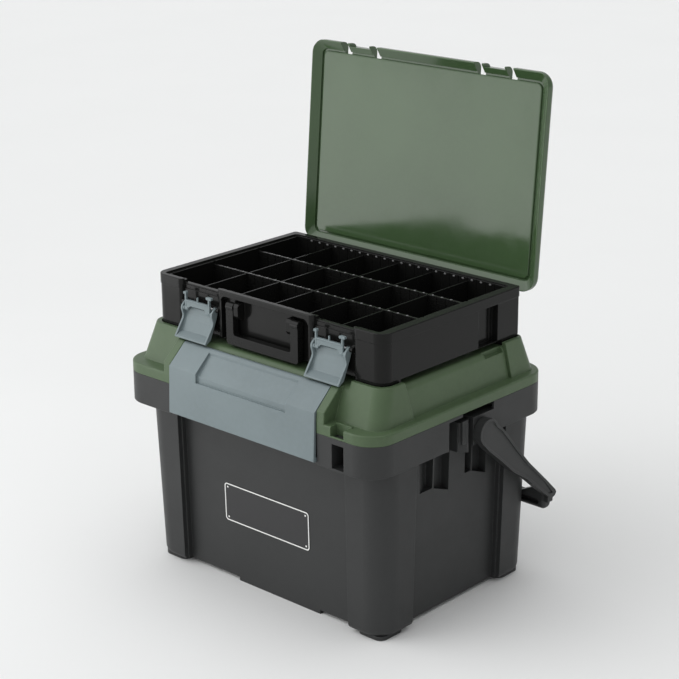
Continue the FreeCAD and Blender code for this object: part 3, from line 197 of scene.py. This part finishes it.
def steel(name):
    mat = bpy.data.materials.new(name)
    mat.use_nodes = True
    n = Net(mat.node_tree)
    out = n.add("ShaderNodeOutputMaterial")
    b = n.add("ShaderNodeBsdfPrincipled")
    n.link(b.outputs[0], out.inputs[0])
    b.inputs["Metallic"].default_value = 1.0
    co = n.add("ShaderNodeTexCoord").outputs["Object"]
    drawn = n.noise(n.stretch(co, (12.0, 900.0, 900.0)), 1.0, 3.0)
    n.link(n.mix(n.noise(co, 90.0, 3.0), (0.46, 0.46, 0.48), (0.66, 0.66, 0.67)), b.inputs["Base Color"])
    n.link(n.ramp(drawn, 0.3, 0.7, 0.22, 0.42), b.inputs["Roughness"])
    bump = n.add("ShaderNodeBump")
    bump.inputs["Distance"].default_value = 0.00002
    n.link(drawn, bump.inputs["Height"])
    n.link(bump.outputs[0], b.inputs["Normal"])
    return mat


def printed(name, col):
    """A printed ink film: nearly even, with thin spots."""
    mat = bpy.data.materials.new(name)
    mat.use_nodes = True
    n = Net(mat.node_tree)
    out = n.add("ShaderNodeOutputMaterial")
    b = n.add("ShaderNodeBsdfPrincipled")
    n.link(b.outputs[0], out.inputs[0])
    co = n.add("ShaderNodeTexCoord").outputs["Object"]
    n.link(n.mix(n.ramp(n.noise(co, 420.0, 4.0, 0.7), 0.55, 0.8, 0.0, 0.5), col, lighter(col, 0.72)), b.inputs["Base Color"])
    n.link(n.ramp(n.noise(co, 200.0, 2.0), 0.3, 0.7, 0.32, 0.5), b.inputs["Roughness"])
    return mat


# ---------------------------------------------------------------- floor, sky and light
bpy.ops.mesh.primitive_plane_add(size=40, location=(0, 0, 0))
floor = bpy.context.active_object
floor.name = "floor"
fm = bpy.data.materials.new("floor_pale")
fm.use_nodes = True
fn = Net(fm.node_tree)
fo = fn.add("ShaderNodeOutputMaterial")
fb = fn.add("ShaderNodeBsdfPrincipled")
fn.link(fb.outputs[0], fo.inputs[0])
fco = fn.add("ShaderNodeTexCoord").outputs["Object"]
fn.link(fn.mix(fn.noise(fco, 3.0, 2.0), (0.86, 0.86, 0.855), (0.88, 0.88, 0.875)), fb.inputs["Base Color"])
fb.inputs["Roughness"].default_value = 0.7
fb.inputs["Specular IOR Level"].default_value = 0.2
floor.data.materials.append(fm)

world = bpy.data.worlds.new("studio")
world.use_nodes = True
wn = Net(world.node_tree)
wo = wn.add("ShaderNodeOutputWorld")
wb = wn.add("ShaderNodeBackground")
wn.link(wb.outputs[0], wo.inputs[0])
wd = wn.add("ShaderNodeTexCoord").outputs["Generated"]


def unit(*v):
    return tuple(Vector(v).normalized())


KEY = unit(-0.62, -0.52, 0.70)
TOP = unit(0.10, 0.25, 1.0)
key = wn.ramp(wn.dot(wd, KEY), math.cos(math.radians(32)), math.cos(math.radians(20)), 0.0, 1.2, smooth=True)
top = wn.ramp(wn.dot(wd, TOP), math.cos(math.radians(28)), math.cos(math.radians(14)), 0.0, 1.0, smooth=True)
base = wn.ramp(wn.dot(wd, unit(-0.75, -0.66, 0.0)), -1.0, 1.0, 0.37, 1.05)
total = wn.math("ADD", base, wn.math("ADD", key, top))
wn.link(total, wb.inputs["Strength"])
wb.inputs["Color"].default_value = (0.985, 0.995, 1.0, 1.0)
scene.world = world

# a low soft light at the front left, which the open lid's inside mirrors
card = bpy.data.lights.new("low_soft_light", "AREA")
card.shape = "RECTANGLE"
card.size, card.size_y = 0.85, 0.60
card.energy = 1.8 * math.pi * card.size * card.size_y
card_o = bpy.data.objects.new("low_soft_light", card)
scene.collection.objects.link(card_o)
card_o.location = (-1.0, -1.0, 0.32)
card_o.rotation_euler = Vector((-0.655, -0.755, 0.0)).to_track_quat("Z", "Y").to_euler()
card_o.visible_camera = False

# ---------------------------------------------------------------- finishes of the CAD nodes
TUB = (0.029, 0.030, 0.030)
GLOSS = (0.008, 0.008, 0.0076)
GREEN = (0.072, 0.112, 0.056)
LIDG = (0.050, 0.092, 0.038)
GREY = (0.165, 0.204, 0.214)
finish = {
    "black_plastic": plastic("satin_black", TUB, rough=0.46, spread=0.06, grain=1500.0, grain_depth=0.00005, edge=0.0010, edge_wear_and_highlight_gain=1.8, pebble=900.0),
    "gloss_black": plastic("gloss_black", GLOSS, rough=0.16, spread=0.05, grain=500.0, grain_depth=0.000008, edge=0.0009, edge_wear_and_highlight_gain=2.4, scuff=0.10, spec=0.17),
    # its strong edge lightening is mostly a painted highlight on the thin divider tops
    "divider_black": plastic("divider_black", lighter(GLOSS, 1.1), rough=0.24, spread=0.06, grain=700.0, grain_depth=0.00001, edge=0.0005, edge_wear_and_highlight_gain=3.0, scuff=0.08),
    "green_plastic": plastic("satin_green", GREEN, rough=0.40, spread=0.06, grain=1300.0, grain_depth=0.00004, edge=0.0012, edge_wear_and_highlight_gain=1.35,
                             tint=(0.076, 0.117, 0.060), pebble=1000.0),
    "green_gloss": plastic("gloss_green", LIDG, rough=0.13, spread=0.05, grain=600.0, grain_depth=0.00001, edge=0.0010, edge_wear_and_highlight_gain=1.5, scuff=0.06,
                           tint=(0.053, 0.096, 0.041), spec=0.5),
    "grey_plastic": plastic("satin_grey_blue", GREY, rough=0.38, spread=0.06, grain=1400.0, grain_depth=0.00003, edge=0.0009, edge_wear_and_highlight_gain=1.35,
                            tint=(0.172, 0.212, 0.222)),
    "label_plate": plastic("label_film", (0.030, 0.030, 0.031), rough=0.36, spread=0.05, grain=1800.0, grain_depth=0.00002, edge=0.0003, edge_wear_and_highlight_gain=1.6),
    "steel": steel("drawn_steel"),
}
slots = {s["node"]: s["material_slot"] for s in frame["record"]["subparts"]}
for node, o in frame["nodes"].items():
    o.data.materials.clear()
    o.data.materials.append(finish[slots[node]])


# ---------------------------------------------------------------- small pieces built as meshes
def new_mesh(name, bm, mat, smooth=True):
    me = bpy.data.meshes.new(name)
    bm.normal_update()
    bm.to_mesh(me)
    bm.free()
    if smooth:
        me.polygons.foreach_set("use_smooth", [True] * len(me.polygons))
    o = bpy.data.objects.new(name, me)
    scene.collection.objects.link(o)
    me.materials.append(mat)
    return o


def rounded(hw, hh, r, steps=8):
    """The outline of a rounded rectangle, corner by corner."""
    pts = []
    for cx, cy, a0 in ((hw - r, hh - r, 0), (-hw + r, hh - r, 90), (-hw + r, -hh + r, 180), (hw - r, -hh + r, 270)):
        for i in range(steps + 1):
            a = math.radians(a0 + 90.0 * i / steps)
            pts.append((cx + r * math.cos(a), cy + r * math.sin(a)))
    return pts


def ring(bm, place, outer, inner, h0, h1):
    """A raised band between two outlines with the same number of points."""
    loops = []
    for pts, h in ((outer, h0), (outer, h1), (inner, h1), (inner, h0)):
        loops.append([bm.verts.new(place(u, v, h)) for u, v in pts])
    n = len(outer)
    for a, b in ((0, 1), (1, 2), (2, 3), (3, 0)):
        for i in range(n):
            j = (i + 1) % n
            bm.faces.new((loops[a][i], loops[a][j], loops[b][j], loops[b][i]))


def dome(bm, place, rx, ry, h, rings=4, seg=16, power=1.0):
    """A low rounded button standing on its place, closed underneath."""
    prev = [bm.verts.new(place(rx * math.cos(2 * math.pi * i / seg), ry * math.sin(2 * math.pi * i / seg), 0.0)) for i in range(seg)]
    bm.faces.new(prev[::-1])
    for k in range(1, rings):
        a = 0.5 * math.pi * k / rings
        c, s = math.cos(a) ** power, math.sin(a)
        cur = [bm.verts.new(place(rx * c * math.cos(2 * math.pi * i / seg), ry * c * math.sin(2 * math.pi * i / seg), h * s)) for i in range(seg)]
        for i in range(seg):
            j = (i + 1) % seg
            bm.faces.new((prev[i], prev[j], cur[j], cur[i]))
        prev = cur
    tip = bm.verts.new(place(0, 0, h))
    for i in range(seg):
        bm.faces.new((prev[i], prev[(i + 1) % seg], tip))


# the label's printed frame and its four corner dots
lean = math.atan2(5.2, 234.3)
origin = P(-2.0, 9.1 - (297.4 + 10.4 * 112.0 / 234.3) / 2 + 13.3, 112.0)
axis_v = Vector((0, -math.sin(lean), math.cos(lean)))
axis_n = Vector((0, -math.cos(lean), -math.sin(lean)))


def on_label(u, v, h):
    return origin + Vector((u / 1000.0, 0, 0)) + axis_v * (v / 1000.0) + axis_n * ((0.6 + h) / 1000.0)


white = printed("white_print", (0.82, 0.82, 0.80))
bm = bmesh.new()
ring(bm, on_label, rounded(76.7, 26.95, 4.7), rounded(75.1, 25.35, 3.2), 0.0, 0.10)
for su in (-1, 1):
    for sv in (-1, 1):
        dome(bm, lambda u, v, h, su=su, sv=sv: on_label(su * 70.8 + u, sv * 21.6 + v, h), 1.35, 1.35, 0.16)
frame_print = new_mesh("label_frame_print", bm, white, smooth=False)
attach(frame_print, "tub")

# the teeth between the grooves end in small rounded heads, coloured light grey as a painted highlight where they
# catch the light
tooth = plastic("tooth_head_painted_highlight", (0.16, 0.16, 0.16), rough=0.30, spread=0.06, grain=900.0, grain_depth=0.00001, edge=0.0002, edge_wear_and_highlight_gain=1.2)
PITCH = 15.15
for body, name, y in (("long_divider_front", "front_teeth", -36.5), ("long_divider_rear", "rear_teeth", 49.0)):
    bm = bmesh.new()
    for k in range(-11, 11):
        x = PITCH * (k + 0.5)
        dome(bm, lambda u, v, h, x=x, y=y: P(x + u, y + v, 399.0 - 0.05 + h), 2.0, 1.35, 0.9)
    teeth = new_mesh(name, bm, tooth)
    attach(teeth, body)
bm = bmesh.new()
for k in range(-11, 11):
    x = PITCH * (k + 0.5)
    dome(bm, lambda u, v, h, x=x: P(x + u, 128.4 + 0.05 - h, 400.6 + v), 2.0, 1.4, 0.8)
teeth = new_mesh("wall_teeth", bm, tooth)
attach(teeth, "case_body")
